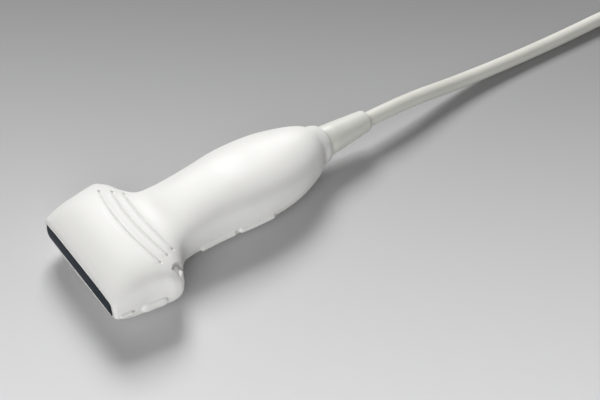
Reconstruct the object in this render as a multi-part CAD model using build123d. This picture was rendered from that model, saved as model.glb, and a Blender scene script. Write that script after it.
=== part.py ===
"""Linear-array ultrasound probe with its cable and its system connector.

Sizes are in millimetres. +X runs along the probe from the lens to the cable and +Z is up. The probe
lies on its broad side on a table at z = 0, and the origin is on the table under the middle of the
probe with its strain relief.
"""

import math
import os

from build123d import *

# Fits shared by many pieces

fit_gap = 0.1  # between pieces that seat on each other
overrun = 3.0  # how far a cutting tool passes the piece that it cuts

# Probe body: two moulded halves that meet on the plane of the probe's axis

body_length = 116.0  # nose to tail
body_width = 61.9  # across the shoulders
body_height = 25.8  # through the head and the grip's swell
body_wall = 2.2
nose_chamfer = 1.1

# Each row: place along the body, half width and half height as shares of the body's own, fullness
# of the section's corners
body_shares = [
    (0.00, 0.878, 0.490, 0.90),
    (0.03, 0.891, 0.728, 0.88),
    (0.07, 0.909, 0.915, 0.87),
    (0.12, 0.926, 0.992, 0.87),
    (0.17, 0.965, 0.986, 0.86),
    (0.205, 1.000, 0.896, 0.85),
    (0.235, 0.967, 0.815, 0.80),
    (0.265, 0.773, 0.752, 0.75),
    (0.30, 0.604, 0.756, 0.72),
    (0.35, 0.547, 0.838, 0.70),
    (0.42, 0.537, 0.921, 0.69),
    (0.50, 0.555, 0.975, 0.69),
    (0.60, 0.602, 1.000, 0.69),
    (0.70, 0.611, 0.968, 0.68),
    (0.80, 0.565, 0.940, 0.65),
    (0.90, 0.431, 0.895, 0.60),
    (0.95, 0.328, 0.795, 0.57),
    (1.00, 0.255, 0.612, 0.553),
]
section_count = 40  # equal lengths that the form is lofted over
cavity_shares = (0.025, 0.95)  # where the cavity starts and ends along the body
cavity_side_count = 4  # straight sides that follow each quarter of the cavity's outline

# Marks moulded in the body; places along the body are measured from the nose

mark_depth = 0.6
mark_rise = 0.7
groove_width = 0.7
groove_bow = 1.7  # how far a groove's middle lies ahead of its ends
groove_mids = [20.4, 24.6, 28.3]
groove_half_lengths = [22.0, 20.2, 17.6]
pocket_depth = 0.9
pocket_corner = (25.4, 22.6)  # from the nose, from the axis
pocket_back = (28.9, 23.6)
pocket_side = (25.2, 28.2)
pocket_fillet = 0.7
rim_width = 1.1
pad_place = 15.0
pad_length = 10.0
pad_height = 4.4
pad_rise = 0.9
pad_drop = 3.2  # below the parting plane
slot_place = 4.6
slot_length = 6.4
slot_height = 2.2
slot_key_length = 3.8
slot_key_height = 1.0
ridge_starts = [43.0, 60.3]
ridge_length = 16.3
ridge_height = 2.0
ridge_drop = 4.4

# Acoustic stack and what carries it

lens_length = 48.0  # across the probe
lens_height = 7.4
lens_corner = 1.6
lens_rise = 0.5  # crown of the lens in front of the nose
carrier_depth = 13.4
carrier_width = 44.8
carrier_height = 10.8
carrier_corner = 3.0
stack_length = 40.0
stack_height = 7.8
stack_gap = 0.6  # between the stack and the carrier, where the flexes pass
matching_thickness = 0.4
piezo_thickness = 0.6
kerf_count = 31
kerf_width = 0.3
kerf_depth = 0.35
backing_depth = 11.0
flex_thickness = 0.25
flex_wide = 36.0
flex_narrow = 20.0
flex_landing = 7.0  # length of flex that lies on the board

# Board and cable entry inside the body

board_start = 36.0  # from the nose
core_fan_length = 8.0  # from the board to the ferrule
board_width = 21.0
board_thickness = 1.2
board_rib_thickness = 1.6
board_rib_places = [49.0, 68.0]
header_length = 10.0
header_width = 15.0
header_height = 3.2
header_slot_height = 1.0
header_slot_depth = 1.2
core_radius = 2.5
core_fan_width = 12.0
core_fan_height = 5.6
ferrule_length = 7.0
ferrule_wall = 1.1
ferrule_flats = 6
anchor_thickness = 1.6
carrier_rib_thickness = 1.5
carrier_rib_reach = 0.9
flange_rib_thickness = 1.5
flange_rib_reach = 2.4

# Cable and the probe's strain relief

cable_radius = 3.4
relief_length = 24.3
relief_base_radius = 6.9
relief_tip_radius = 4.8
relief_tip_chamfer = 0.8
relief_seam = 0.3  # gap between the tail and the sleeve
relief_neck_radius = 5.6
relief_flange_radius = 6.9
relief_flange_thickness = 3.0
cable_inside = 20.0  # length of cable held in the strain relief
arc_share = 0.45  # share of the shorter run beside it that a bend's arc takes

# Hank of the spare cable, wound in long turns two wide and four high, with a strap on each side

hank_start = (277.0, -2.5)  # middle of the first round end
hank_run = 47.0  # straight part of a turn
hank_turn_radius = 27.2  # of the outer turns' ends
hank_columns = 2
hank_rows = 4
join_angle_deg = 50.0  # where the cable meets the outer turn, below the hank's middle line
join_inset = 0.4  # from the outer turn's middle line to the cable's end
strap_thickness = 1.1
strap_width = 14.0

# System connector, standing on its contact shell

connector_length = 66.0
connector_width = 46.0
connector_place = (435.7, -4.7)  # the lock's axis
connector_wall = 2.0
connector_corner = 5.0
connector_edge = 2.5
shell_length = 44.0  # metal frame round the contacts
shell_width = 28.0
shell_wall = 1.6
shell_corner = 3.0
shell_standing = 8.0  # height that it stands out of the covers
shell_flange = 2.0
shell_flange_thickness = 1.2
parting_height = 23.0
cover_top = 38.0
block_recess = 6.4  # from the shell's rim to the block's face
block_height = 6.0
contact_length = 2.6
contact_width = 1.1
contact_rise = 0.4
contact_columns = 6
contact_rows = 5
contact_pitch_x = 2.1
contact_pitch_y = 4.2
contact_field = 12.6  # from the lock's axis to the middle of a field
circuit_length = 46.0
circuit_width = 30.0
circuit_thickness = 1.6
screw_place = (28.0, 18.0)  # from the lock's axis
screw_radius = 1.5
screw_head_radius = 2.7
screw_head_height = 2.0
screw_length = 22.0
screw_slot_width = 0.8
screw_slot_depth = 0.7
pillar_radius = 3.6

# Quarter-turn lock

shaft_radius = 3.0
shaft_flat = 0.8  # depth of the flat that drives the shaft
shaft_running_gap = 0.05
pilot_radius = 2.5
pilot_length = 3.0
pilot_lift = 0.6  # from the table to the pilot's end
dog_length = 13.0
dog_width = 4.0
dog_thickness = 2.2
bush_wall = 1.6
bush_flange = 2.0
bush_flange_thickness = 1.0
bush_depth = 6.0
knob_radius = 13.5
knob_plate = 4.0
knob_running_gap = 0.4
grip_length = 25.0
grip_width = 8.5
grip_height = 9.0
grip_edge = 2.0
knob_edge = 1.2
knob_seat = 4.0  # length of shaft held in the grip
knob_screw_head_radius = 2.6
knob_screw_head_height = 1.8
knob_screw_radius = 1.25
knob_screw_length = 7.0

# Connector's strain relief

exit_length = 16.0
exit_base_radius = 6.4
exit_tip_radius = 4.6
exit_neck_radius = 5.2
exit_flange_radius = 6.6
exit_flange_thickness = 2.2
exit_cable_inside = 6.0  # length of cable held in the connector's strain relief
exit_crimp_length = 6.0
exit_crimp_wall = 1.0

# Derived places

nose_x = -(body_length + relief_length - lens_rise) / 2
tail_x = nose_x + body_length
relief_end = tail_x + relief_length
axis_z = body_height / 2
cavity_sections = [round(share * section_count) for share in cavity_shares]
cavity_start, cavity_end = (
    nose_x + section / section_count * body_length for section in cavity_sections
)
cable_diameter = 2 * cable_radius
hank_width = hank_columns * cable_diameter
hank_height = hank_rows * cable_diameter
hank_outer_radius = hank_turn_radius + cable_radius
hank_mean_radius = hank_outer_radius - hank_width / 2
hank_floor = strap_thickness + fit_gap
join_first_z = hank_floor + cable_radius + join_inset
join_last_z = hank_floor + hank_height - cable_radius - join_inset
join_radius = hank_turn_radius - join_inset
join_back = join_radius * math.cos(math.radians(join_angle_deg))
join_y = hank_start[1] - join_radius * math.sin(math.radians(join_angle_deg))
connector_x, connector_y = connector_place
cover_front = connector_x - connector_length / 2
cable_start = relief_end - cable_inside

# Route of the cable from the strain relief to the hank, and from the hank to the connector

lead_points = [
    (cable_start, 0.0, axis_z),
    (88.0, 0.0, axis_z),
    (127.0, 0.6, 5.9),
    (166.0, -1.2, 3.5),
    (204.0, -3.5, 3.5),
    (237.3, -4.7, 4.0),
    (hank_start[0] - join_back, join_y, join_first_z),
]
tail_points = [
    (hank_start[0] + hank_run + join_back, join_y, join_last_z),
    (363.7, connector_y, parting_height),
    (cover_front - exit_length + exit_cable_inside, connector_y, parting_height),
]

nodes = {}


def half_section(x, half_width, half_height, fullness, side_count):
    """Half of the body's outline at one place, closed along the parting plane.

    With a side count, straight sides between points of the curves take the curves' place.
    """
    reach = fullness * half_width
    rise = fullness * half_height
    near = Bezier(
        (x, -half_width, 0), (x, -half_width, rise), (x, -reach, half_height), (x, 0, half_height)
    )
    far = Bezier(
        (x, 0, half_height), (x, reach, half_height), (x, half_width, rise), (x, half_width, 0)
    )
    if not side_count:
        return Wire([near, far, Line(far @ 1, near @ 0)])
    steps = [step / side_count for step in range(side_count)]
    corners = [curve @ step for curve in (near, far) for step in steps]
    return Wire(Polyline(*corners, far @ 1, close=True).edges())


def slope_share(index, column):
    """Slope of one column of the table at a row, taken from the rows on both sides of it."""
    before = body_shares[max(index - 1, 0)]
    after = body_shares[min(index + 1, len(body_shares) - 1)]
    return (after[column] - before[column]) / (after[0] - before[0])


def section_shares(place):
    """Half width, half height and fullness at a place, on a smooth curve through the rows."""
    index = sum(row[0] <= place for row in body_shares[1:-1])
    start, end = body_shares[index], body_shares[index + 1]
    gap = end[0] - start[0]
    t = (place - start[0]) / gap
    return [
        start[column] * (1 + 2 * t) * (1 - t) ** 2
        + end[column] * (3 - 2 * t) * t**2
        + slope_share(index, column) * gap * t * (1 - t) ** 2
        - slope_share(index + 1, column) * gap * t**2 * (1 - t)
        for column in (1, 2, 3)
    ]


def half_body(outset, first=0, last=section_count, side_count=0):
    """One half of the body's form between two sections, grown outwards by the outset."""
    sections = []
    for index in range(first, last + 1):
        width, height, fullness = section_shares(index / section_count)
        x = nose_x + index / section_count * body_length
        half_width = width * body_width / 2 + outset
        half_height = height * body_height / 2 + outset
        sections.append(half_section(x, half_width, half_height, fullness, side_count))
    return Solid.make_loft(sections, ruled=True)


def both_sides(shape):
    """The shape and its mirror image across the probe's upright middle plane."""
    return shape + mirror(shape, about=Plane.XZ)


def both_halves(shape):
    """The shape and its mirror image across the parting plane."""
    return shape + mirror(shape, about=Plane.XY)


def block(length, width, height, corner=0):
    """A block standing on the parting plane, with its upright edges rounded."""
    outline = RectangleRounded(length, width, corner) if corner else Rectangle(length, width)
    return extrude(outline, height)


def bar(start, end, radius):
    """A round bar about the axis between two places along X."""
    low, high = sorted((start, end))
    return extrude(Plane.YZ * Pos(0, 0, low) * Circle(radius), high - low)


# Marks of the body, each made on a half that stands on the parting plane


def grooves():
    """Three bowed grooves across the shoulder."""
    walls = []
    for mid, half_length in zip(groove_mids, groove_half_lengths):
        radius = (half_length**2 + groove_bow**2) / (2 * groove_bow)
        middle = Pos(nose_x + mid + radius, 0)
        ring = Circle(radius + groove_width / 2) - Circle(radius - groove_width / 2)
        reach = Pos(nose_x + mid + groove_bow / 2, 0) * Rectangle(2 * groove_bow, 2 * half_length)
        walls.append(extrude((middle * ring) & reach, body_height))
    return Part() + walls - half_body(-mark_depth)


def pocket_outline():
    """Three-cornered outline of a shoulder pocket, in plan."""
    corners = [(nose_x + place, side) for place, side in (pocket_corner, pocket_back, pocket_side)]
    outline = Polygon(*corners, align=None)
    return fillet(outline.vertices(), pocket_fillet), corners


def pockets():
    """A shallow pocket in the top of each corner of the shoulder."""
    outline, _ = pocket_outline()
    return both_sides(extrude(outline, body_height)) - half_body(-pocket_depth)


def pocket_rims():
    """The raised rim behind each pocket."""
    outline, (_, back, side) = pocket_outline()
    band = trace(Line(back, side), 2 * rim_width) - outline
    return both_sides(extrude(band, body_height)) & half_body(mark_rise)


def side_prism(place, length, height, drop):
    """A round-ended prism that runs from the axis out through the near side of the body."""
    outline = Plane.XZ * Pos(nose_x + place, drop) * SlotOverall(length, height)
    return extrude(outline, body_width)


def side_pads():
    """Raised pads and keyed slots that a needle-guide bracket locates on, one pair each side."""
    pad = side_prism(pad_place, pad_length, pad_height, pad_drop)
    return both_sides(pad) & half_body(pad_rise)


def side_slots():
    slot = side_prism(slot_place, slot_length, slot_height, pad_drop)
    key = side_prism(slot_place, slot_key_length, slot_key_height, pad_drop)
    return both_sides(slot - key) - half_body(-mark_depth)


def pointer_ridges():
    """Two ridges in line on the near side, which tell the user's thumb the array's first end."""
    ridges = [
        side_prism(start + ridge_length / 2, ridge_length, ridge_height, ridge_drop)
        for start in ridge_starts
    ]
    return (Part() + ridges) & half_body(mark_rise)


def rib(start, thickness, low):
    """Slab left standing in the cavity, above a height over the parting plane."""
    size = (thickness, body_width, body_height)
    return Pos(start, 0, low) * Box(*size, align=(Align.MIN, Align.CENTER, Align.MIN))


def cavity():
    """The hollow of one half, with the ribs that hold the carrier, the board and the sleeve."""
    flange_rib = cavity_end - relief_flange_thickness - fit_gap - flange_rib_thickness
    ribs = [
        rib(carrier_end, carrier_rib_thickness, carrier_height / 2 - carrier_rib_reach),
        rib(flange_rib, flange_rib_thickness, relief_flange_radius - flange_rib_reach),
    ]
    ribs += [
        rib(nose_x + place, board_rib_thickness, board_thickness / 2 + fit_gap)
        for place in board_rib_places
    ]
    return half_body(-body_wall, *cavity_sections, cavity_side_count) - ribs


def lens_outline(outset):
    size = (lens_length + 2 * outset, lens_height + 2 * outset)
    return Plane.YZ * RectangleRounded(*size, lens_corner + outset)


def shell(side_marks):
    """One moulded half: bevelled nose, marks outside, cavity and ribs inside."""
    half = half_body(0)
    rim = half.edges().filter_by_position(Axis.X, nose_x - fit_gap, nose_x + fit_gap)
    half = chamfer(rim.filter_by(GeomType.LINE, reverse=True), nose_chamfer)
    half = half - grooves() - pockets() + pocket_rims()
    if side_marks:
        half = half + side_pads() + pointer_ridges() - side_slots()
    opening = Pos(nose_x - overrun, 0, 0) * extrude(lens_outline(fit_gap), 2 * overrun + nose_wall)
    mouth = bar(cavity_end - fit_gap, relief_end, relief_neck_radius + fit_gap)
    return half - cavity() - opening - mouth


def add(name, shape):
    """Keeps a piece that is modelled about the probe's axis, at its height over the table."""
    nodes[name] = Pos(0, 0, axis_z) * shape


nose_wall = cavity_start - nose_x
carrier_end = cavity_start + carrier_depth + fit_gap

add("upper_shell", shell(side_marks=False))
add("lower_shell", mirror(shell(side_marks=True), about=Plane.XY))

# Acoustic stack: lens, matching layer, diced ceramic and backing, in their carrier

lens_crown = ((lens_height / 2) ** 2 + lens_rise**2) / (2 * lens_rise)
lens_body = Pos(nose_x - lens_rise, 0, 0) * extrude(lens_outline(0), nose_wall + lens_rise)
crown = Cylinder(lens_crown, lens_length, rotation=(90, 0, 0))
add("acoustic_lens", lens_body & (Pos(nose_x - lens_rise + lens_crown, 0, 0) * crown))

carrier = Plane.YZ * RectangleRounded(carrier_width, carrier_height, carrier_corner)
carrier_hole = Plane.YZ * Rectangle(stack_length + 2 * stack_gap, stack_height + 2 * stack_gap)
carrier_front = cavity_start + fit_gap
add("array_carrier", Pos(carrier_front, 0, 0) * extrude(carrier - carrier_hole, carrier_depth - fit_gap))

stack = Plane.YZ * Rectangle(stack_length, stack_height)
piezo_x = cavity_start + matching_thickness
add("matching_layer", Pos(cavity_start, 0, 0) * extrude(stack, matching_thickness))
kerf_pitch = stack_length / (kerf_count + 1)
kerfs = GridLocations(0, kerf_pitch, 1, kerf_count)
kerf = Box(kerf_depth, kerf_width, stack_height, align=(Align.MIN, Align.CENTER, Align.CENTER))
diced = extrude(stack, piezo_thickness) - [place * kerf for place in kerfs]
add("piezo_array", Pos(piezo_x, 0, 0) * diced)
backing_x = piezo_x + piezo_thickness
add("backing_block", Pos(backing_x, 0, 0) * extrude(stack, backing_depth))


# Flexible circuits, from both edges of the array to both faces of the board


def flex():
    stack_z = stack_height / 2 + stack_gap / 2
    board_z = board_thickness / 2 + flex_thickness / 2
    bend_x = carrier_end + carrier_rib_thickness + fit_gap
    landing_x = nose_x + board_start
    path = [
        (backing_x, stack_z),
        (bend_x, stack_z),
        (landing_x, board_z),
        (landing_x + flex_landing, board_z),
    ]
    top = [(x, z + flex_thickness / 2) for x, z in path]
    bottom = [(x, z - flex_thickness / 2) for x, z in reversed(path)]
    side = extrude(Plane.XZ * Polygon(*top, *bottom, align=None), body_width / 2, both=True)
    plan = Polygon(
        (backing_x, flex_wide / 2),
        (bend_x, flex_wide / 2),
        (landing_x, flex_narrow / 2),
        (landing_x + flex_landing, flex_narrow / 2),
        (landing_x + flex_landing, -flex_narrow / 2),
        (landing_x, -flex_narrow / 2),
        (bend_x, -flex_wide / 2),
        (backing_x, -flex_wide / 2),
        align=None,
    )
    return side & extrude(plan, body_height, both=True)


add("upper_flex", flex())
add("lower_flex", mirror(flex(), about=Plane.XY))

# Board and the two headers for the cable's cores

flange_front = cavity_end - fit_gap
flange_back = flange_front - relief_flange_thickness
ferrule_x = flange_back - fit_gap - ferrule_length
anchor_x = ferrule_x + anchor_thickness
board_x = nose_x + board_start
board_end = ferrule_x - core_fan_length
board_length = board_end - board_x
board_middle = Pos(board_x + board_length / 2, 0, 0)
add("interconnect_board", board_middle * Box(board_length, board_width, board_thickness))
header = Pos(0, 0, board_thickness / 2) * block(header_length, header_width, header_height)
header_slot = Box(header_slot_depth, header_width, header_slot_height)
header -= Pos(-header_length / 2, 0, board_thickness / 2 + header_height / 2) * header_slot
add("cable_headers", Pos(board_end - header_length / 2, 0, 0) * both_halves(header))

# Cable's cores, ferrule and the plate that takes the pull

ferrule_radius = core_radius + ferrule_wall
core_square = math.sqrt(2) * core_radius
fan = loft(
    [
        Plane.YZ * Pos(0, 0, board_end + fit_gap) * Rectangle(core_fan_width, core_fan_height),
        Plane.YZ * Pos(0, 0, ferrule_x) * Rectangle(core_square, core_square),
    ],
    ruled=True,
)
add("core_bundle", fan + bar(ferrule_x, cable_start, core_radius))
collar = bar(ferrule_x, anchor_x - fit_gap, ferrule_radius + ferrule_wall)
crimp_x = anchor_x + anchor_thickness
hexagon = Plane.YZ * Pos(0, 0, crimp_x) * RegularPolygon(ferrule_radius, ferrule_flats)
ferrule = collar + bar(ferrule_x, crimp_x, ferrule_radius)
ferrule_end = ferrule_x + ferrule_length
ferrule += extrude(hexagon, ferrule_end - crimp_x)
add("crimp_ferrule", ferrule - bar(ferrule_x, ferrule_end, core_radius))
plate = half_body(-body_wall - fit_gap, *cavity_sections, cavity_side_count)
plate &= rib(anchor_x, anchor_thickness, 0)
plate_hole = bar(anchor_x, anchor_x + anchor_thickness, ferrule_radius + fit_gap)
add("anchor_plate", both_halves(plate) - plate_hole)

# Probe's strain relief: a tapered sleeve with a neck and a flange that the two halves trap


def sleeve(base_x, tip_x, base_radius, tip_radius, neck_radius, flange, cable_end):
    """Tapered sleeve along X whose neck reaches back to its flange, bored for cable and cores."""
    flange_front, flange_back, flange_radius = flange
    corners = [(base_x, 0), (base_x, base_radius), (tip_x, tip_radius), (tip_x, 0)]
    cone = revolve(Plane.XZ * Polygon(*corners, align=None), Axis.X)
    tip = cone.edges().filter_by_position(Axis.X, tip_x - fit_gap, tip_x + fit_gap)
    cone = chamfer(tip.filter_by(GeomType.CIRCLE), relief_tip_chamfer)
    whole = cone + bar(base_x, flange_front, neck_radius)
    whole += bar(flange_front, flange_back, flange_radius)
    return whole - bar(tip_x, cable_end, cable_radius) - bar(cable_end, flange_back, core_radius)


relief_flange = (flange_front, flange_back, relief_flange_radius)
relief = sleeve(
    tail_x + relief_seam,
    relief_end,
    relief_base_radius,
    relief_tip_radius,
    relief_neck_radius,
    relief_flange,
    cable_start,
)
add("strain_relief", relief)

# Cable: one length along its route to the hank, the hank, and one length to the connector


def cable_length(name, points):
    """A round cable along straight runs joined by arcs as large as the runs allow."""
    corners = [Vector(*point) for point in points]
    runs = [after - before for before, after in zip(corners, corners[1:])]
    radii = []
    for before, after in zip(runs, runs[1:]):
        half_turn = math.radians(before.get_angle(after)) / 2
        radii.append(arc_share * min(before.length, after.length) / math.tan(half_turn))
    path = FilletPolyline(*corners, radius=radii)
    cable = sweep(Plane(origin=path @ 0, z_dir=path % 0) * Circle(cable_radius), path=path)
    expected = math.pi * cable_radius**2 * path.length
    print(name, "radii", [round(radius) for radius in radii])
    print(name, "length", round(path.length, 1), "volume share", round(cable.volume / expected, 4))
    return cable


def bundle(width, height, corner_radius):
    """Outline of a stack of cables, its corners cut off along the cables that lie in them."""
    return chamfer(Rectangle(width, height).vertices(), (2 - math.sqrt(2)) * corner_radius)


hank_middle = Pos(hank_start[0] + hank_run / 2, hank_start[1], hank_floor + hank_height / 2)
turn = bundle(hank_width, hank_height, cable_radius)
side_run = Plane.YZ * Pos(hank_mean_radius, 0, -hank_run / 2) * turn
half_hank = extrude(side_run, hank_run) + Pos(hank_run / 2, 0) * revolve(
    Plane.XZ * Pos(hank_mean_radius, 0) * turn, Axis.Z, 180
).rotate(Axis.Z, -90)
hank = hank_middle * (half_hank + half_hank.rotate(Axis.Z, 180))
nodes["cable_hank"] = hank
nodes["cable_lead"] = cable_length("cable_lead", lead_points) - hank
nodes["cable_tail"] = cable_length("cable_tail", tail_points) - hank

strap_gap = 2 * fit_gap
strap_growth = strap_gap + 2 * strap_thickness
strap_section = bundle(
    hank_width + strap_growth, hank_height + strap_growth, cable_radius + strap_thickness
) - bundle(hank_width + strap_gap, hank_height + strap_gap, cable_radius)
strap = Plane.YZ * Pos(hank_mean_radius, 0, -strap_width / 2) * strap_section
nodes["hank_straps"] = hank_middle * Compound(list(both_sides(extrude(strap, strap_width)).solids()))

# System connector, modelled about the lock's axis and standing on its contact shell


def add_to_connector(name, shape):
    nodes[name] = Pos(*connector_place) * shape


def at_screws(shape):
    """The shape at each of the four cover screws."""
    along, across = (2 * place for place in screw_place)
    return [place * shape for place in GridLocations(along, across, 2, 2)]


def rod(low, high, radius):
    """An upright round bar between two heights."""
    return Pos(0, 0, low) * extrude(Circle(radius), high - low)


inner_length = connector_length - 2 * connector_wall
inner_width = connector_width - 2 * connector_wall
inner_corner = connector_corner - connector_wall
floor_z = shell_standing + connector_wall
ceiling_z = cover_top - connector_wall
wall_x = -connector_length / 2
inner_wall_x = wall_x + connector_wall
notch_start, notch_end = wall_x - overrun, inner_wall_x + overrun
notch = Pos(0, 0, parting_height) * bar(notch_start, notch_end, exit_neck_radius + fit_gap)
screw_head_z = shell_standing + fit_gap
screw_shoulder_z = screw_head_z + screw_head_height
screw_hole = rod(shell_standing - overrun, screw_shoulder_z + fit_gap, screw_head_radius + fit_gap)
screw_hole += rod(shell_standing, screw_shoulder_z + screw_length, screw_radius + fit_gap / 2)
bush_radius = shaft_radius + shaft_running_gap + bush_wall

lower = Pos(0, 0, shell_standing) * block(
    connector_length, connector_width, parting_height - shell_standing, connector_corner
)
lower = chamfer(lower.faces().sort_by(Axis.Z)[0].edges(), connector_edge)
lower -= Pos(0, 0, floor_z) * block(inner_length, inner_width, cover_top, inner_corner)
lower += at_screws(rod(floor_z, parting_height, pillar_radius))
lower -= at_screws(screw_hole)
shell_opening = (shell_length + 2 * fit_gap, shell_width + 2 * fit_gap)
lower -= block(*shell_opening, cover_top, shell_corner + fit_gap)
add_to_connector("connector_lower_cover", lower - notch)

upper = Pos(0, 0, parting_height) * block(
    connector_length, connector_width, cover_top - parting_height, connector_corner
)
upper = chamfer(upper.faces().sort_by(Axis.Z)[-1].edges(), connector_edge)
upper -= block(inner_length, inner_width, ceiling_z, inner_corner)
upper += at_screws(rod(parting_height, ceiling_z, pillar_radius))
upper -= at_screws(screw_hole)
upper -= rod(ceiling_z - overrun, cover_top + overrun, bush_radius + fit_gap / 2)
add_to_connector("connector_upper_cover", upper - notch)

screw = rod(screw_head_z, screw_shoulder_z, screw_head_radius)
screw += rod(screw_shoulder_z, screw_shoulder_z + screw_length - fit_gap, screw_radius)
screw -= Pos(0, 0, screw_head_z) * Box(2 * screw_head_radius, screw_slot_width, 2 * screw_slot_depth)
add_to_connector("cover_screws", Compound(at_screws(screw)))

# Contact shell, block and contacts

frame = block(shell_length, shell_width, floor_z + shell_flange_thickness, shell_corner)
flange_size = (shell_length + 2 * shell_flange, shell_width + 2 * shell_flange)
frame += Pos(0, 0, floor_z) * block(*flange_size, shell_flange_thickness, shell_corner)
opening_length = shell_length - 2 * shell_wall
opening_width = shell_width - 2 * shell_wall
opening_corner = shell_corner - shell_wall
add_to_connector("contact_shell", frame - block(opening_length, opening_width, cover_top, opening_corner))

contact_block = Pos(0, 0, block_recess) * block(
    opening_length - 2 * fit_gap, opening_width - 2 * fit_gap, block_height, opening_corner
)
block_top = block_recess + block_height
shaft_hole = rod(0, cover_top, shaft_radius + contact_rise)
add_to_connector("contact_block", contact_block - shaft_hole)
contact = Pos(0, 0, block_recess - contact_rise) * block(contact_width, contact_length, contact_rise)
field = GridLocations(contact_pitch_x, contact_pitch_y, contact_columns, contact_rows)
fields = GridLocations(2 * contact_field, 0, 2, 1)
add_to_connector("contacts", Compound([side * place * contact for side in fields for place in field]))

circuit_z = block_top + fit_gap
circuit = Pos(0, 0, circuit_z) * block(circuit_length, circuit_width, circuit_thickness)
add_to_connector("connector_board", circuit - shaft_hole)

# Cable's way in: sleeve, crimp, cores and their header

exit_front = inner_wall_x + fit_gap
exit_back = exit_front + exit_flange_thickness
cable_stop = tail_points[-1][0] - connector_x
exit_sleeve = sleeve(
    wall_x - relief_seam,
    wall_x - exit_length,
    exit_base_radius,
    exit_tip_radius,
    exit_neck_radius,
    (exit_front, exit_back, exit_flange_radius),
    cable_stop,
)
add_to_connector("connector_strain_relief", Pos(0, 0, parting_height) * exit_sleeve)
crimp_start = exit_back + fit_gap
crimp_end = crimp_start + exit_crimp_length
crimp = bar(crimp_start, crimp_end, core_radius + exit_crimp_wall)
crimp -= bar(crimp_start, crimp_end, core_radius)
add_to_connector("connector_crimp", Pos(0, 0, parting_height) * crimp)
header_top = circuit_z + circuit_thickness
entry_z = header_top + core_fan_height / 2 + fit_gap
entry_x = -circuit_length / 2 + header_length / 2
cores = Pos(0, 0, parting_height) * bar(cable_stop, crimp_end, core_radius)
cores += loft(
    [
        Plane.YZ * Pos(0, parting_height, crimp_end) * Circle(core_radius),
        Plane.YZ * Pos(0, entry_z, entry_x) * Circle(core_radius),
    ]
)
add_to_connector("connector_cores", cores)
entry = Pos(entry_x + header_length / 2, 0, header_top) * block(
    header_length, header_width, core_fan_height + header_slot_height
)
add_to_connector("connector_header", entry)

# Quarter-turn lock: shaft with its cross-bar, bush, knob and knob screw

bush = rod(cover_top - bush_depth, cover_top, bush_radius)
bush += rod(ceiling_z - bush_flange_thickness, ceiling_z, bush_radius + bush_flange)
bush_bore = rod(0, 2 * cover_top, shaft_radius + shaft_running_gap)
add_to_connector("shaft_bush", bush - bush_bore)

pilot_top = pilot_lift + pilot_length
dog_top = pilot_top + dog_thickness
knob_z = cover_top + knob_running_gap
grip_z = knob_z + knob_plate
shaft_top = grip_z + knob_seat
knob_top = grip_z + grip_height
knob_head_z = knob_top - knob_screw_head_height - fit_gap
thread_z = knob_head_z - knob_screw_length


def flatted(low, high, radius):
    """An upright bar with the flat that drives the knob."""
    flat = Pos(shaft_radius - shaft_flat, 0, low) * Box(
        radius, 2 * radius, high - low, align=(Align.MIN, Align.CENTER, Align.MIN)
    )
    return rod(low, high, radius) - flat


shaft = rod(pilot_lift, pilot_top, pilot_radius)
shaft += Pos(0, 0, pilot_top) * block(dog_length, dog_width, dog_thickness)
shaft += rod(dog_top, knob_z, shaft_radius) + flatted(knob_z, shaft_top, shaft_radius)
add_to_connector("lock_shaft", shaft - rod(thread_z, shaft_top, knob_screw_radius))

knob = rod(knob_z, grip_z, knob_radius)
knob = chamfer(knob.edges().filter_by(GeomType.CIRCLE).sort_by(Axis.Z)[-1], knob_edge)
grip = Pos(0, 0, grip_z) * block(grip_length, grip_width, grip_height, grip_edge)
grip = chamfer(grip.faces().sort_by(Axis.Z)[-1].edges(), grip_edge / 2)
knob += grip
knob -= flatted(knob_z, shaft_top, shaft_radius)
knob -= rod(shaft_top, knob_head_z, knob_screw_radius + fit_gap)
knob -= rod(knob_head_z, knob_top, knob_screw_head_radius + fit_gap)
add_to_connector("lock_knob", knob)

knob_screw = rod(thread_z, knob_head_z, knob_screw_radius)
knob_screw += rod(knob_head_z, knob_head_z + knob_screw_head_height, knob_screw_head_radius)
knob_slot = Box(2 * knob_screw_head_radius, screw_slot_width, 2 * screw_slot_depth)
knob_screw -= Pos(0, 0, knob_head_z + knob_screw_head_height) * knob_slot
add_to_connector("knob_screw", knob_screw)

os.makedirs("parts", exist_ok=True)
for name, shape in nodes.items():
    export_step(shape, f"parts/{name}.step")
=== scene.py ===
import math

import bmesh
import bpy
import numpy as np
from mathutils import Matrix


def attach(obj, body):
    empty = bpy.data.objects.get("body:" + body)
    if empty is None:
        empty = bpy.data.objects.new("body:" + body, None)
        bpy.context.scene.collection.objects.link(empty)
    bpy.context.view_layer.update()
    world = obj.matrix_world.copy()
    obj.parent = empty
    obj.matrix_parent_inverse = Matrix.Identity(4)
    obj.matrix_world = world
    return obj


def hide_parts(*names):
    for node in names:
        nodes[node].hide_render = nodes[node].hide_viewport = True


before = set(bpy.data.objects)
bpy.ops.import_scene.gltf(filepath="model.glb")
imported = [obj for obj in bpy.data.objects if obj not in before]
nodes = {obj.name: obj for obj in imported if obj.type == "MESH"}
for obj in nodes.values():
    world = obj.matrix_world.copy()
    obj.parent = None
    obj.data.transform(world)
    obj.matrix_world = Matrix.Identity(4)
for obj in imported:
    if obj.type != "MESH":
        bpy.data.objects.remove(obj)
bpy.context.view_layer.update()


# Camera. It stands where the photograph was taken from: about 45 degrees above the table, looking
# along the probe from the lens's side, with the cable leaving at the picture's upper right corner.

camera = bpy.data.objects.new("camera", bpy.data.cameras.new("camera"))
bpy.context.scene.collection.objects.link(camera)
camera.location = (-0.14900, -0.23123, 0.28918)
camera.rotation_euler = (math.radians(44.154), math.radians(-0.805), math.radians(-37.671))
camera.data.sensor_width = 36.0
camera.data.lens = 57.72
camera.data.clip_start = 0.01
bpy.context.scene.camera = camera


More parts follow.
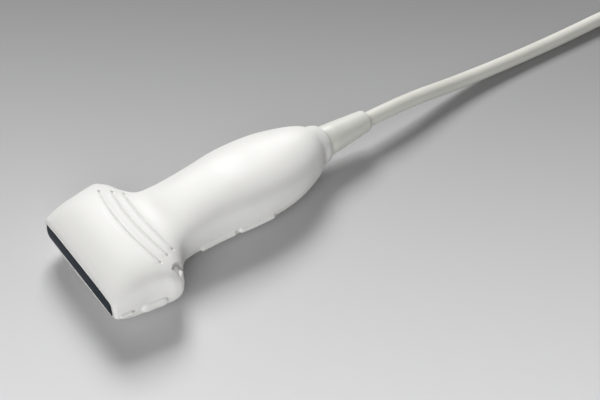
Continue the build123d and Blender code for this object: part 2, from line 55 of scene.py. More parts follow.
# Cable. The real one is a bundle of fine coaxial cores in a braid and a soft jacket, 6.8 mm thick.
# It runs from the strain relief to the table, lies on it to the hank, is wound there in long turns,
# two wide and four high, and goes on from the hank's top to the connector.

cable_radius = 0.0034
lead_route = [
    (0.0504, 0.0, 0.0129),
    (0.0880, 0.0, 0.0129),
    (0.1270, 0.0006, 0.0059),
    (0.1660, -0.0012, 0.0035),
    (0.2040, -0.0035, 0.0035),
    (0.2373, -0.0047, 0.0040),
]
tail_route = [
    (0.3637, -0.0047, 0.0230),
    (0.3927, -0.0047, 0.0230),
]
hank_x, hank_y = 0.2770, -0.0025  # middle of the first round end
hank_run, hank_mean, join_angle = 0.0470, 0.0238, math.radians(40.0)
hank_turns, hank_points = 7, 191
hank_places = [  # radius of the round ends and height of the cable's middle, in the order of winding
    (0.0272, 0.0046), (0.0204, 0.0046), (0.0204, 0.0114), (0.0272, 0.0114),
    (0.0272, 0.0182), (0.0204, 0.0182), (0.0204, 0.0250), (0.0272, 0.0250),
]
turn_length = 2 * hank_run + 2 * math.pi * hank_mean
wound_length = hank_turns * turn_length + hank_run + 2 * join_angle * hank_mean
crossing_reach = 0.015  # half the length over which the cable changes its place in the bundle
control_share = 1.0086  # a control point lies this much outside the turn that it draws


def smooth(share):
    """Eases from 0 to 1 as the share goes from 0 to 1, and holds both ends."""
    share = np.clip(share, 0.0, 1.0)
    return share * share * (3.0 - 2.0 * share)


def wound_place(run):
    """The cable's middle after a length of winding, counted along the middle of the bundle."""
    radius, height = hank_places[0]
    for index, (before, after) in enumerate(zip(hank_places, hank_places[1:])):
        crossing = wound_length * (index + 1) / len(hank_places)
        share = float(smooth((run - crossing + crossing_reach) / (2 * crossing_reach)))
        radius += share * (after[0] - before[0])
        height += share * (after[1] - before[1])
    reach = radius * control_share
    run = (run - join_angle * hank_mean) % turn_length
    half_turn = math.pi * hank_mean
    if run < hank_run:
        return (hank_x + run, hank_y - reach, height)
    if run < hank_run + half_turn:
        angle = (run - hank_run) / hank_mean - math.pi / 2
        return (hank_x + hank_run + reach * math.cos(angle), hank_y + reach * math.sin(angle), height)
    if run < 2 * hank_run + half_turn:
        return (hank_x + 2 * hank_run + half_turn - run, hank_y + reach, height)
    angle = (run - 2 * hank_run - half_turn) / hank_mean + math.pi / 2
    return (hank_x + reach * math.cos(angle), hank_y + reach * math.sin(angle), height)


hank_route = [wound_place(run) for run in np.linspace(0.0, wound_length, hank_points)]

cable_curve = bpy.data.curves.new("cable", "CURVE")
cable_curve.dimensions = "3D"
cable_spline = cable_curve.splines.new("NURBS")
cable_route = lead_route + hank_route + tail_route
cable_spline.points.add(len(cable_route) - 1)
for point, place in zip(cable_spline.points, cable_route):
    point.co = (*place, 1.0)
cable_spline.order_u = 3
cable_spline.use_endpoint_u = True
cable_curve.resolution_u = 5
cable_curve.bevel_depth = cable_radius
cable_curve.bevel_resolution = 7
cable_curve.use_fill_caps = True
cable = bpy.data.objects.new("cable", cable_curve)
bpy.context.scene.collection.objects.link(cable)


def paint(name, colour, roughness):
    """A new material whose principled shader gets a plain colour and roughness."""
    made = bpy.data.materials.new(name)
    made.use_nodes = True
    shader = made.node_tree.nodes["Principled BSDF"]
    shader.inputs["Base Color"].default_value = (*colour, 1.0)
    shader.inputs["Roughness"].default_value = roughness
    return made, shader


def grain(material, shader, scale, strength, distance, detail=3.0, stretch=(1.0, 1.0, 1.0)):
    """Fine moulded or drawn grain: a noise on the object's own coordinates, as a bump."""
    tree = material.node_tree
    place = tree.nodes.new("ShaderNodeTexCoord")
    mapping = tree.nodes.new("ShaderNodeMapping")
    mapping.inputs["Scale"].default_value = stretch
    noise = tree.nodes.new("ShaderNodeTexNoise")
    noise.inputs["Scale"].default_value = scale
    noise.inputs["Detail"].default_value = detail
    bump = tree.nodes.new("ShaderNodeBump")
    bump.inputs["Strength"].default_value = strength
    bump.inputs["Distance"].default_value = distance
    tree.links.new(place.outputs["Object"], mapping.inputs["Vector"])
    tree.links.new(mapping.outputs["Vector"], noise.inputs["Vector"])
    tree.links.new(noise.outputs["Fac"], bump.inputs["Height"])
    tree.links.new(bump.outputs["Normal"], shader.inputs["Normal"])
    return mapping


def mottle(material, shader, mapping, light, dark, scale, rough_low, rough_high):
    """Slow drift of colour and gloss over a surface, from a large soft noise."""
    tree = material.node_tree
    noise_low, noise_high = 0.35, 0.65  # the noise seldom leaves this range
    noise = tree.nodes.new("ShaderNodeTexNoise")
    noise.inputs["Scale"].default_value = scale
    noise.inputs["Detail"].default_value = 4.0
    shades = tree.nodes.new("ShaderNodeValToRGB")
    shades.color_ramp.elements[0].position = noise_low
    shades.color_ramp.elements[0].color = (*dark, 1.0)
    shades.color_ramp.elements[1].position = noise_high
    shades.color_ramp.elements[1].color = (*light, 1.0)
    gloss = tree.nodes.new("ShaderNodeMapRange")
    gloss.inputs["From Min"].default_value = noise_low
    gloss.inputs["From Max"].default_value = noise_high
    gloss.inputs["To Min"].default_value = rough_low
    gloss.inputs["To Max"].default_value = rough_high
    tree.links.new(mapping.outputs["Vector"], noise.inputs["Vector"])
    tree.links.new(noise.outputs["Fac"], shades.inputs["Fac"])
    tree.links.new(shades.outputs["Color"], shader.inputs["Base Color"])
    tree.links.new(noise.outputs["Fac"], gloss.inputs["Value"])
    tree.links.new(gloss.outputs["Result"], shader.inputs["Roughness"])


def plastic(name, light, dark, roughness, grain_scale, grain_strength):
    """A moulded plastic or rubber: two near shades, uneven gloss and fine grain."""
    made, shader = paint(name, light, roughness)
    mapping = grain(made, shader, grain_scale, grain_strength, distance=0.0001)
    unevenness = 0.05
    mottle(
        made, shader, mapping, light, dark, scale=60.0,
        rough_low=roughness - unevenness, rough_high=roughness + unevenness,
    )
    return made, shader


cable_jacket, _ = plastic("cable jacket", (0.74, 0.735, 0.68), (0.71, 0.705, 0.65), 0.50, 2500.0, 0.15)
cable_curve.materials.append(cable_jacket)
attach(cable, "probe")
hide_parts("cable_lead", "cable_hank", "cable_tail")


# Body shells. The real body is two halves moulded in a white medical plastic and joined all round at
# the parting plane. The nose is turned in to the lens, the shoulder has three bowed finger grooves
# and a pocket in each corner. The lower half has a bracket pad with a short bar ahead of it on each
# side, and the ridges on the near side.

nose_x, axis_z = -0.0699, 0.0129
body_length, half_width, half_height = 0.1160, 0.03095, 0.0129
body_rows = np.array([
    (0.00, 0.878, 0.490, 0.90), (0.03, 0.891, 0.728, 0.88), (0.07, 0.909, 0.915, 0.87),
    (0.12, 0.926, 0.992, 0.87), (0.17, 0.965, 0.986, 0.86), (0.205, 1.000, 0.896, 0.85),
    (0.235, 0.967, 0.815, 0.80), (0.265, 0.773, 0.752, 0.75), (0.30, 0.604, 0.756, 0.72),
    (0.35, 0.547, 0.838, 0.70), (0.42, 0.537, 0.921, 0.69), (0.50, 0.555, 0.975, 0.69),
    (0.60, 0.602, 1.000, 0.69), (0.70, 0.611, 0.968, 0.68), (0.80, 0.565, 0.940, 0.65),
    (0.90, 0.431, 0.895, 0.60), (0.95, 0.328, 0.795, 0.57), (1.00, 0.255, 0.612, 0.553),
])
lens_half_width, lens_half_height, lens_corner = 0.0242, 0.0039, 0.0007
lens_gap = 0.00012
opening_depth, lip_width, lip_drop = 0.0026, 0.0002, 0.00005
nose_round, tail_round, shell_wall = 0.0012, 0.0007, 0.0022
tail_mouth, mouth_depth, mouth_bevel = 0.0057, 0.0030, 0.0003
cavity_start, cavity_end = 0.0034, 0.1097
column_count, column_spread, column_pinch = 181, 0.725, 0.225
row_stretches = [  # start, end and step of the rows of points, finest where the marks are
    (0.0012, 0.0160, 0.00036), (0.0160, 0.0320, 0.00019),
    (0.0320, 0.0420, 0.0008), (0.0420, 0.0775, 0.00048),
]
grip_start, grip_rows = 0.0780, 34  # the plain rows behind the marks
dip_place, dip_width, dip_depth, dip_side = 0.1112, 0.0014, 0.0007, 0.0075
grooves = [  # place of the middle, bow, half length, half width and depth; the first is a faint line
    (0.0175, 0.0029, 0.0225, 0.00055, 0.00010),
    (0.0193, 0.0029, 0.0222, 0.00028, 0.00050),
    (0.0244, 0.0021, 0.0200, 0.00028, 0.00050),
    (0.0286, 0.0015, 0.0176, 0.00028, 0.00050),
]
groove_shift = 0.0014  # of the grooves' middles, towards the near side
groove_fade = 0.0010
swell_share, swell_ahead, swell_width = 0.4, 0.0014, 0.0011  # the raised edge ahead of each groove
pit_radius, pit_slope, pit_extra = 0.00065, 0.0004, 0.0003
pocket_corners = np.array([(0.0244, 0.0273), (0.0262, 0.0257), (0.0312, 0.0236), (0.0264, 0.0303)])
pocket_depth, pocket_slope, pocket_start = 0.0010, 0.0004, 0.2
rim_height, rim_back, rim_width, rim_fade, rim_overlap = 0.00025, 0.0007, 0.0005, 0.0012, 0.0002
pad_place, pad_drop, pad_size, pad_rise = 0.0151, 0.0036, (0.0104, 0.0046), 0.0013
key_place, key_drop, key_size, key_rise = 0.0040, 0.0018, (0.0052, 0.0017), 0.0012  # short bars
hole_place, hole_drop, hole_size, hole_depth = 0.0074, 0.0022, (0.0014, 0.0013), 0.0010
dome_power, hole_steepness = 2.6, 2.0
ridge_starts, ridge_drop, ridge_size, ridge_rise = (0.0434, 0.0610), 0.0042, (0.0163, 0.0024), 0.0012


def shares_at(place):
    """Half width, half height and fullness at a share of the length, smooth through the rows."""
    places = body_rows[:, 0]
    slopes = np.gradient(body_rows[:, 1:], places, axis=0)
    slopes[1:-1] = (body_rows[2:, 1:] - body_rows[:-2, 1:]) / (places[2:] - places[:-2])[:, None]
    index = min(max(np.searchsorted(places, place, side="right") - 1, 0), len(places) - 2)
    gap = places[index + 1] - places[index]
    t = (place - places[index]) / gap
    start, end = body_rows[index, 1:], body_rows[index + 1, 1:]
    return (
        start * (1 + 2 * t) * (1 - t) ** 2
        + end * (3 - 2 * t) * t**2
        + slopes[index] * gap * t * (1 - t) ** 2
        - slopes[index + 1] * gap * t**2 * (1 - t)
    )


def section(place, outset, columns):
    """Points over one section of the body, from the near side over the top to the far side."""
    width, height, fullness = shares_at(place / body_length)
    w, h = width * half_width + outset, height * half_height + outset
    t = np.abs(1 - 2 * columns)  # 1 at the parting plane and 0 at the top
    side = w * (t**3 + 3 * t**2 * (1 - t) + 3 * fullness * t * (1 - t) ** 2)
    top = h * ((1 - t) ** 3 + 3 * (1 - t) ** 2 * t + 3 * fullness * (1 - t) * t**2)
    across = np.sign(columns - 0.5) * side
    return np.stack([np.full_like(columns, nose_x + place), across, top], axis=1)


def rounded_opening(place, width, height, corner, columns):
    """Points over half a rounded rectangle, evenly along its outline."""
    arc = math.pi / 2 * corner
    length = 2 * (height - corner) + 2 * arc + 2 * (width - corner)
    run = np.minimum(columns, 1 - columns) * length
    rise = height - corner
    turn = np.clip((run - rise) / arc, 0, 1) * math.pi / 2
    y = -(width - corner) - corner * np.cos(turn) + np.clip(run - rise - arc, 0, None)
    y = np.where(columns > 0.5, -y, y)
    z = np.clip(run, None, rise) + corner * np.sin(turn)
    return np.stack([np.full_like(columns, nose_x + place), y, z], axis=1)


def bar(along, across, length, height):
    """Distance in from the edge of a round-ended bar about the origin, in half heights of it."""
    past = np.clip(np.abs(along) - (length - height) / 2, 0, None)
    return 1 - np.hypot(past, across) / (height / 2)


def domed(depth):
    """Rises steeply from the edge of a bar and rounds over to 1 at its middle line."""
    return np.sqrt(1 - (1 - np.clip(depth, 0, 1)) ** dome_power)


def tail_recess(place, y):
    """A shallow dip ahead of the tail's lip, deepest at the sides."""
    across = smooth(np.abs(y) / dip_side)
    return -dip_depth * np.exp(-(((place - dip_place) / dip_width) ** 2)) * across


def upper_marks(place, y, rise):
    """Height of the upper half's marks: grooves with their pits, and the pockets with their rims."""
    side, across_y = np.abs(y), y + groove_shift
    height = np.zeros_like(place)
    for mid, bow, reach, width, depth in grooves:
        across = place - mid - bow * (across_y / reach) ** 2
        kept = smooth((reach - np.abs(across_y)) / groove_fade + 0.5)
        height -= depth * np.exp(-((across / width) ** 2)) * kept
        swell = np.exp(-(((across + swell_ahead) / swell_width) ** 2))
        height += swell_share * depth * swell * kept
        pit = np.hypot(place - mid - bow, np.abs(across_y) - reach)
        is_groove = depth > pit_extra  # the faint line has no pits
        height -= (depth + pit_extra) * smooth((pit_radius - pit) / pit_slope) * is_groove
    inwards = np.full_like(place, 1.0)
    for (ax, ay), (bx, by) in zip(pocket_corners, np.roll(pocket_corners, -1, axis=0)):
        length = math.hypot(bx - ax, by - ay)
        edge = ((bx - ax) * (side - ay) - (by - ay) * (place - ax)) / length
        inwards = np.minimum(inwards, edge)
    height -= pocket_depth * smooth(inwards / pocket_slope + pocket_start)
    (ax, ay), (bx, by) = pocket_corners[2], pocket_corners[3]
    length = math.hypot(bx - ax, by - ay)
    along = ((bx - ax) * (place - ax) + (by - ay) * (side - ay)) / length
    off = ((by - ay) * (place - ax) - (bx - ax) * (side - ay)) / length
    ends = smooth((along + rim_overlap) / rim_fade)
    ends *= smooth((length + rim_overlap - along) / rim_fade)
    height += rim_height * np.exp(-(((off - rim_back) / rim_width) ** 2)) * ends
    return height + tail_recess(place, y)


def lower_marks(place, y, drop):
    """Height of the lower half's marks: pads, bars and holes on both sides, ridges on one."""
    height = pad_rise * domed(bar(place - pad_place, drop - pad_drop, *pad_size))
    height += key_rise * domed(bar(place - key_place, drop - key_drop, *key_size))
    hole = bar(place - hole_place, drop - hole_drop, *hole_size)
    height -= hole_depth * smooth(hole_steepness * hole)
    for start in ridge_starts:
        middle = start + ridge_size[0] / 2
        ridge = domed(bar(place - middle, drop - ridge_drop, *ridge_size))
        height += ridge_rise * ridge * (y < 0)
    return height + tail_recess(place, y)


def shell_surface(columns, marks):
    """Rows of points over one half, from inside the lens's opening over the body to the tail."""
    opening = [size + lens_gap for size in (lens_half_width, lens_half_height, lens_corner)]
    lip = [size + lip_width for size in opening]
    rows = [rounded_opening(opening_depth, *opening, columns)]
    rows.append(rounded_opening(lip_width, *opening, columns))
    rows.append(rounded_opening(lip_drop, *lip, columns))
    front = section(0.0, -nose_round, columns)
    rows.append(0.5 * front + 0.5 * rounded_opening(0.0, *lip, columns))
    for angle in np.linspace(0, math.pi / 2, 7)[:-1]:
        place = nose_round * (1 - math.cos(angle))
        rows.append(section(place, nose_round * (math.sin(angle) - 1), columns))
    places = [np.arange(*stretch) for stretch in row_stretches]
    places = np.concatenate(places + [np.linspace(grip_start, body_length - tail_round, grip_rows)])
    first = len(rows)
    rows += [section(place, 0.0, columns) for place in places]
    last = len(rows)
    for angle in np.linspace(0, math.pi / 2, 6)[1:]:
        place = body_length - tail_round * (1 - math.sin(angle))
        rows.append(section(place, tail_round * (math.cos(angle) - 1), columns))
    turn = math.pi * (1 - columns)
    mouth = [(0.0, tail_mouth + mouth_bevel), (mouth_bevel, tail_mouth), (mouth_depth, tail_mouth)]
    for depth, radius in mouth:
        x = np.full_like(turn, nose_x + (body_length - depth))
        rows.append(np.stack([x, radius * np.cos(turn), radius * np.sin(turn)], axis=1))
    surface = np.array(rows)
    along = np.gradient(surface, axis=0)
    round_it = np.gradient(surface, axis=1)
    normals = np.cross(along, round_it)
    normals /= np.linalg.norm(normals, axis=2, keepdims=True) + 1e-12
    marked = slice(first, last)
    heights = marks(surface[marked, :, 0] - nose_x, surface[marked, :, 1], surface[marked, :, 2])
    surface[marked] += normals[marked] * heights[:, :, None]
    return surface


def lay_grid(bm, surface, half):
    """A grid of the surface's rows and columns, moved to its points and to the half's side."""
    rows, columns = surface.shape[:2]
    made = bmesh.ops.create_grid(bm, x_segments=rows - 1, y_segments=columns - 1, size=1.0)["verts"]
    for vert in made:
        row = round((vert.co.x + 1) / 2 * (rows - 1))
        column = round((vert.co.y + 1) / 2 * (columns - 1))
        x, y, z = surface[row, column]
        vert.co = (x, y, axis_z + half * z)
    return made


def keep(name, bm, material, smooth_angle=35.0):
    """Turns a finished bmesh into a piece, shaded smooth but for its sharp edges."""
    mesh = bpy.data.meshes.new(name)
    bm.to_mesh(mesh)
    bm.free()
    mesh.materials.append(material)
    mesh.shade_smooth()
    mesh.set_sharp_from_angle(angle=math.radians(smooth_angle))
    made = bpy.data.objects.new(name, mesh)
    bpy.context.scene.collection.objects.link(made)
    return made


def body_shell(name, half, marks, material):
    """One moulded half, as a closed grid: over its marked outside and back along its inner wall."""
    way = np.linspace(-1, 1, column_count)
    columns = 0.5 + way * (column_spread - column_pinch * np.abs(way))  # closest at the parting plane
    outer = shell_surface(columns, marks)
    rim_share = 0.998  # eases the rim in, which leaves the hairline at the parting plane
    outer[:, (0, -1), 1] *= rim_share
    stagger = 0.0004  # keeps the inner rows apart where the cavity's ends hold them
    inner_places = np.clip(outer[:, 0, 0] - nose_x, cavity_start, cavity_end)
    inner_places += np.linspace(-stagger, stagger, len(outer))
    inner = np.array([section(place, -shell_wall, columns) for place in inner_places])
    wall = np.concatenate([outer, inner[:, ::-1], outer[:, :1]], axis=1)
    first, last = (np.concatenate([edge, edge[::-1], edge[:1]])[None] for edge in (inner[0], inner[-1]))
    bm = bmesh.new()
    lay_grid(bm, np.concatenate([first, wall, last]), half)
    bmesh.ops.remove_doubles(bm, verts=bm.verts, dist=0.000001)
    bmesh.ops.recalc_face_normals(bm, faces=bm.faces)
    return keep(name, bm, material)


housing, housing_shader = plastic(
    "housing plastic", (0.85, 0.845, 0.82), (0.83, 0.825, 0.80), 0.50, 1800.0, 0.08
)
housing_shader.inputs["Specular IOR Level"].default_value = 0.4
for name, half, marks in (("upper_shell", 1, upper_marks), ("lower_shell", -1, lower_marks)):
    shell = body_shell("body_" + name, half, marks, housing)
    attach(shell, "probe")
    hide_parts(name)


# Acoustic lens. A strip of dark blue-grey silicone, moulded over the array, level with the nose's
# lip and crowned along its middle.

lens_silicone, lens_shader = plastic(
    "lens silicone", (0.022, 0.030, 0.042), (0.019, 0.027, 0.038), 0.58, 2200.0, 0.08
)
lens_shader.inputs["Specular IOR Level"].default_value = 0.10
bm = bmesh.new()
lens_columns = np.linspace(0, 1, 97)
lens_edge, lens_bulge = 0.00018, 0.0005  # how far the strip's edge and middle stand out of the nose
lens_rows = [  # place and inset of the rows from inside the opening to the strip's edge
    (opening_depth, 0.0), (0.0001, 0.0), (-0.0001, 0.00015), (-lens_edge, 0.0004),
]
for half in (1, -1):
    rows = []
    for place, inset in lens_rows:
        sizes = [size - inset for size in (lens_half_width, lens_half_height, lens_corner)]
        rows.append(rounded_opening(place, *sizes, lens_columns))
    rim = rows[-1]
    for share in (0.75, 0.5, 0.25, 0.0):
        row = rim.copy()
        row[:, 2] *= share
        row[:, 0] = nose_x - lens_bulge + (lens_bulge - lens_edge) * share**2
        rows.append(row)
    lay_grid(bm, np.array(rows), half)
bmesh.ops.remove_doubles(bm, verts=bm.verts, dist=0.000005)
bmesh.ops.holes_fill(bm, edges=[edge for edge in bm.edges if edge.is_boundary], sides=0)
bmesh.ops.recalc_face_normals(bm, faces=bm.faces)
lens = keep("lens_strip", bm, lens_silicone)
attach(lens, "probe")
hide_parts("acoustic_lens")


# Strain relief. A soft tapered sleeve that bends with the cable, moulded in one with the flange that
# the two halves hold, with a rounded lip at its tip.

relief_rubber, _ = plastic("relief rubber", (0.74, 0.74, 0.69), (0.71, 0.71, 0.66), 0.48, 2200.0, 0.12)


def turned(name, profile, centre, material, sides=96):
    """A round piece along X: a profile of places and radii, spun full round the centre line."""
    bm = bmesh.new()
    y, z = centre
    verts = [bm.verts.new((x, y, z + radius)) for x, radius in profile]
    edges = [bm.edges.new(pair) for pair in zip(verts, verts[1:])]
    bmesh.ops.spin(
        bm, geom=verts + edges, cent=(0.0, y, z), axis=(1.0, 0.0, 0.0),
        angle=2 * math.pi, steps=sides, use_merge=True,
    )
    bmesh.ops.recalc_face_normals(bm, faces=bm.faces)
    return keep(name, bm, material)


sleeve_start, sleeve_base, sleeve_tip, neck_radius = 0.0410, 0.0464, 0.0704, 0.0056
relief_profile = [
    (sleeve_start, 0.0035), (sleeve_start, neck_radius),
    (sleeve_base, neck_radius), (sleeve_base, 0.0065),
    (sleeve_base + 0.0001, 0.00675), (sleeve_base + 0.0004, 0.0069),
    (sleeve_base + 0.0060, 0.00645), (sleeve_base + 0.0120, 0.00593), (sleeve_base + 0.0180, 0.00541),
    (sleeve_tip - 0.0020, 0.0050), (sleeve_tip - 0.0010, 0.00488), (sleeve_tip - 0.0004, 0.00465),
    (sleeve_tip - 0.0001, 0.0043), (sleeve_tip, 0.0039), (sleeve_tip - 0.0002, 0.00355),
    (sleeve_tip - 0.0010, 0.00341), (sleeve_start, cable_radius),
]
relief = turned("relief_sleeve", relief_profile, (0.0, axis_z), relief_rubber)
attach(relief, "probe")
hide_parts("strain_relief")


# Acoustic stack and circuits. Behind the lens lie the matching layer, the ceramic array and its
# backing in a moulded carrier; two flexible circuits run back to the board, where the cable's cores
# arrive in two headers. The shells hide all of it.


def dress(finish, *names):
    """Gives CAD pieces their finish."""
    for name in names:
        mesh = nodes[name].data
        mesh.materials.clear()
        mesh.materials.append(finish)


def metal(name, colour, roughness, stretch):
    """A bare metal: its colour, tool marks along one direction, and uneven gloss."""
    made, shader = paint(name, colour, roughness)
    shader.inputs["Metallic"].default_value = 1.0
    mapping = grain(
        made, shader, scale=900.0, strength=0.12, distance=0.00005, detail=2.0, stretch=stretch
    )
    darker = tuple(0.85 * channel for channel in colour)
    mottle(
        made, shader, mapping, colour, darker, scale=40.0,
        rough_low=roughness - 0.06, rough_high=roughness + 0.08,
    )
    return made


carrier_plastic, _ = plastic("carrier plastic", (0.10, 0.10, 0.11), (0.08, 0.08, 0.09), 0.50, 1500.0, 0.15)
matching_epoxy, _ = plastic("matching epoxy", (0.25, 0.23, 0.20), (0.22, 0.20, 0.17), 0.45, 3000.0, 0.10)
array_ceramic, _ = plastic("array ceramic", (0.45, 0.42, 0.36), (0.40, 0.37, 0.31), 0.55, 4000.0, 0.20)
backing_rubber, _ = plastic("backing rubber", (0.08, 0.07, 0.07), (0.06, 0.055, 0.055), 0.65, 2500.0, 0.25)
flex_film, _ = plastic("flex film", (0.55, 0.25, 0.06), (0.48, 0.21, 0.05), 0.30, 1200.0, 0.05)
board_laminate, _ = plastic("board laminate", (0.03, 0.18, 0.08), (0.02, 0.14, 0.06), 0.40, 2000.0, 0.20)
header_plastic, _ = plastic("header plastic", (0.72, 0.68, 0.58), (0.68, 0.64, 0.54), 0.50, 1500.0, 0.10)
core_bundle, _ = plastic("core bundle", (0.55, 0.60, 0.66), (0.40, 0.46, 0.54), 0.45, 1600.0, 0.50)
ferrule_metal = metal("ferrule metal", (0.62, 0.62, 0.60), 0.30, (1.0, 0.1, 0.1))
dress(carrier_plastic, "array_carrier")
dress(matching_epoxy, "matching_layer")
dress(array_ceramic, "piezo_array")
dress(backing_rubber, "backing_block")
dress(flex_film, "upper_flex", "lower_flex")
dress(board_laminate, "interconnect_board", "connector_board")
dress(header_plastic, "cable_headers", "connector_header")
dress(core_bundle, "core_bundle", "connector_cores")
dress(ferrule_metal, "crimp_ferrule", "anchor_plate", "connector_crimp")


# Hank straps. Two bands of woven hook-and-loop tape, each wrapped once round a side of the hank.

strap_weave, strap_shader = paint("strap weave", (0.035, 0.045, 0.065), 0.85)
tree = strap_weave.node_tree
place = tree.nodes.new("ShaderNodeTexCoord")
waves = []
for direction in ("X", "DIAGONAL"):
    wave = tree.nodes.new("ShaderNodeTexWave")
    wave.bands_direction = direction
    wave.inputs["Scale"].default_value = 420.0
    wave.inputs["Distortion"].default_value = 1.5
    tree.links.new(place.outputs["Object"], wave.inputs["Vector"])
    waves.append(wave)
crossing = tree.nodes.new("ShaderNodeMath")
crossing.operation = "MAXIMUM"
tree.links.new(waves[0].outputs["Fac"], crossing.inputs[0])
tree.links.new(waves[1].outputs["Fac"], crossing.inputs[1])
bump = tree.nodes.new("ShaderNodeBump")
bump.inputs["Strength"].default_value = 0.6
bump.inputs["Distance"].default_value = 0.0003
threads = tree.nodes.new("ShaderNodeValToRGB")
threads.color_ramp.elements[0].color = (0.018, 0.024, 0.036, 1.0)
threads.color_ramp.elements[1].color = (0.060, 0.075, 0.105, 1.0)
tree.links.new(crossing.outputs["Value"], bump.inputs["Height"])
tree.links.new(crossing.outputs["Value"], threads.inputs["Fac"])
tree.links.new(bump.outputs["Normal"], strap_shader.inputs["Normal"])
tree.links.new(threads.outputs["Color"], strap_shader.inputs["Base Color"])
strap_shader.inputs["Sheen Weight"].default_value = 0.3
dress(strap_weave, "hank_straps")


# Connector covers. Two moulded covers in the housing's off-white, held together by four screws from
# below. Each long side has a row of grip ribs, and a raised ring guards the knob. The sleeve of grey
# rubber keeps the cable from kinking.

connector_x, connector_y = 0.4357, -0.0047
cover_half_width, cover_seam, cover_top = 0.0230, 0.0230, 0.0380
connector_plastic, _ = plastic(
    "connector plastic", (0.72, 0.715, 0.69), (0.69, 0.685, 0.66), 0.48, 1800.0, 0.15
)
sleeve_rubber, _ = plastic("sleeve rubber", (0.55, 0.55, 0.51), (0.51, 0.51, 0.47), 0.55, 2200.0, 0.15)
screw_metal = metal("screw metal", (0.56, 0.56, 0.54), 0.28, (0.3, 0.3, 1.0))
dress(connector_plastic, "connector_upper_cover", "connector_lower_cover")
dress(sleeve_rubber, "connector_strain_relief")
dress(screw_metal, "cover_screws", "knob_screw")

bm = bmesh.new()
rib_count, rib_pitch, rib_width, rib_stand = 7, 0.0036, 0.0016, 0.0007
rib_height, rib_lift, rib_bevel = 0.0100, 0.0070, 0.0005
for side in (-1, 1):
    for index in range(rib_count):
        made = bmesh.ops.create_cube(bm, size=1.0)["verts"]
        bmesh.ops.scale(bm, verts=made, vec=(rib_width, 2 * rib_stand, rib_height))
        x = connector_x + (index - (rib_count - 1) / 2) * rib_pitch
        y = connector_y + side * cover_half_width
        bmesh.ops.translate(bm, verts=made, vec=(x, y, cover_seam + rib_lift))
bmesh.ops.bevel(
    bm, geom=bm.edges[:] + bm.verts[:], affect="EDGES",
    offset=rib_bevel, segments=3, profile=0.5, material=-1,
)
ribs = keep("grip_ribs", bm, connector_plastic)
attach(ribs, "probe")

ring_inner, ring_outer = 0.0143, 0.0163
ring_foot, ring_top = cover_top - 0.0002, cover_top + 0.0009
inner_bevel, outer_bevel = 0.0003, 0.0004
bm = bmesh.new()
ring_profile = [
    (ring_inner, ring_foot), (ring_inner, ring_top - inner_bevel), (ring_inner + inner_bevel, ring_top),
    (ring_outer - outer_bevel, ring_top), (ring_outer, ring_top - outer_bevel), (ring_outer, ring_foot),
]
verts = [bm.verts.new((connector_x + radius, connector_y, height)) for radius, height in ring_profile]
edges = [bm.edges.new(pair) for pair in zip(verts, verts[1:] + verts[:1])]
bmesh.ops.spin(
    bm, geom=verts + edges, cent=(connector_x, connector_y, 0.0), axis=(0.0, 0.0, 1.0),
    angle=2 * math.pi, steps=96, use_merge=True,
)
bmesh.ops.recalc_face_normals(bm, faces=bm.faces)
ring = keep("knob_ring", bm, connector_plastic)
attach(ring, "probe")


# Contacts. A drawn metal shell stands below the covers and guards a black block with rows of small
# gold pads; the board behind it carries the cores' header.

shell_metal = metal("shell metal", (0.60, 0.60, 0.58), 0.30, (0.2, 0.2, 1.0))
block_plastic, _ = plastic("block plastic", (0.045, 0.045, 0.05), (0.035, 0.035, 0.04), 0.50, 2000.0, 0.12)
contact_gold = metal("contact gold", (0.85, 0.62, 0.28), 0.22, (1.0, 1.0, 1.0))
dress(shell_metal, "contact_shell")
dress(block_plastic, "contact_block")
dress(contact_gold, "contacts")


# Lock. A quarter-turn knob of dark grey plastic, screwed to a steel shaft that runs in a bronze bush
# through both covers; its cross-bar catches in the machine's socket. A pale mark shows its setting.

knob_plastic, _ = plastic("knob plastic", (0.20, 0.22, 0.25), (0.17, 0.19, 0.22), 0.50, 1800.0, 0.20)
bush_bronze = metal("bush bronze", (0.58, 0.42, 0.22), 0.32, (0.2, 0.2, 1.0))
shaft_steel = metal("shaft steel", (0.60, 0.60, 0.58), 0.26, (0.2, 0.2, 1.0))
dress(knob_plastic, "lock_knob")
dress(bush_bronze, "shaft_bush")
dress(shaft_steel, "lock_shaft")

grip_top = 0.0514
mark_radius, mark_stretch, mark_place = 0.0011, 0.0012, 0.0080
mark_sink, mark_thickness = 0.0001, 0.00025
mark_paint, _ = plastic("mark paint", (0.72, 0.72, 0.70), (0.68, 0.68, 0.66), 0.45, 2500.0, 0.10)
bm = bmesh.new()
bmesh.ops.create_circle(bm, cap_ends=True, segments=32, radius=mark_radius)
for vert in bm.verts:
    if abs(vert.co.x) > 0.01 * mark_radius:
        vert.co.x += math.copysign(mark_stretch, vert.co.x)
foot = (connector_x + mark_place, connector_y, grip_top - mark_sink)
bmesh.ops.translate(bm, verts=bm.verts, vec=foot)
raised = bmesh.ops.extrude_face_region(bm, geom=bm.faces[:])["geom"]
raised = [piece for piece in raised if isinstance(piece, bmesh.types.BMVert)]
bmesh.ops.translate(bm, verts=raised, vec=(0.0, 0.0, mark_thickness))
bmesh.ops.recalc_face_normals(bm, faces=bm.faces)
mark = keep("setting_mark", bm, mark_paint)
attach(mark, "lock")
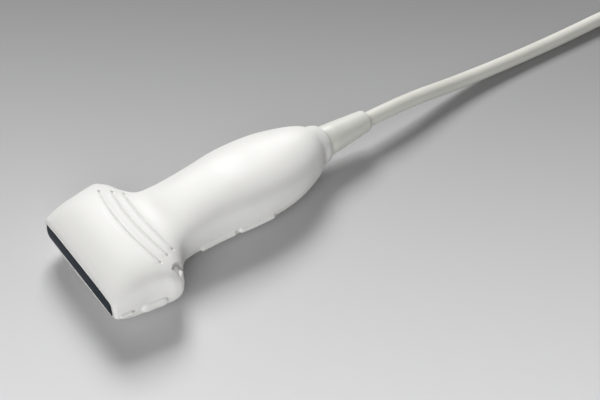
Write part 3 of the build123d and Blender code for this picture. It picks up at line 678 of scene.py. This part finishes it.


# Table. A plain matt sheet whose colour runs from near white at the front, nearest the camera, to
# dark grey behind the probe: the light's falloff painted in, painted light at the front and painted shade
# behind.

bm = bmesh.new()
bmesh.ops.create_grid(bm, x_segments=1, y_segments=1, size=3.0)
table, table_shader = paint("table sheet painted falloff", (0.5, 0.5, 0.5), 0.9)
tree = table.node_tree
place = tree.nodes.new("ShaderNodeTexCoord")
turn = tree.nodes.new("ShaderNodeMapping")
turn.inputs["Rotation"].default_value = (0.0, 0.0, math.radians(38.5))
parts = tree.nodes.new("ShaderNodeSeparateXYZ")
span = tree.nodes.new("ShaderNodeMapRange")
span.inputs["From Min"].default_value = -0.24
span.inputs["From Max"].default_value = 0.34
# The ramp paints light into the sheet's colour: near white in front as painted light, dark grey behind as
# painted shade.
shades = tree.nodes.new("ShaderNodeValToRGB")
shades.color_ramp.interpolation = "B_SPLINE"
shades.color_ramp.elements[0].color = (0.96, 0.96, 0.965, 1.0)
shades.color_ramp.elements[1].color = (0.12, 0.12, 0.123, 1.0)
for position, tone in ((0.17, 0.90), (0.50, 0.42), (0.83, 0.135)):
    shades.color_ramp.elements.new(position).color = (tone, tone, 1.01 * tone, 1.0)
tree.links.new(place.outputs["Object"], turn.inputs["Vector"])
tree.links.new(turn.outputs["Vector"], parts.inputs["Vector"])
tree.links.new(parts.outputs["Y"], span.inputs["Value"])
tree.links.new(span.outputs["Result"], shades.inputs["Fac"])
tree.links.new(shades.outputs["Color"], table_shader.inputs["Base Color"])
table_shader.inputs["Specular IOR Level"].default_value = 0.1
floor = keep("floor", bm, table)


# Lights. A soft box behind the probe throws its shadow towards the camera, two weaker ones stand
# in front, low and high, and the room gives a faint even white.


def soft_box(name, direction, elevation, distance, size, power):
    """A square area light that faces the probe from a compass direction and an elevation."""
    light = bpy.data.lights.new(name, "AREA")
    light.shape = "SQUARE"
    light.size = size
    light.energy = power
    made = bpy.data.objects.new(name, light)
    bpy.context.scene.collection.objects.link(made)
    around, up = math.radians(direction), math.radians(elevation)
    made.location = (
        distance * math.cos(up) * math.cos(around),
        distance * math.cos(up) * math.sin(around),
        distance * math.sin(up),
    )
    made.rotation_euler = (math.pi / 2 - up, 0.0, around + math.pi / 2)


soft_box("key light", 62.0, 45.0, 1.5, 0.62, 22.0)
soft_box("front light", 222.0, 24.0, 1.2, 1.0, 8.8)
soft_box("fill light", 238.0, 58.0, 1.2, 0.8, 0.9)
world = bpy.data.worlds.new("room")
world.use_nodes = True
world.node_tree.nodes["Background"].inputs["Color"].default_value = (1.0, 1.0, 1.0, 1.0)
world.node_tree.nodes["Background"].inputs["Strength"].default_value = 0.06
bpy.context.scene.world = world
bpy.context.scene.view_settings.view_transform = "Standard"
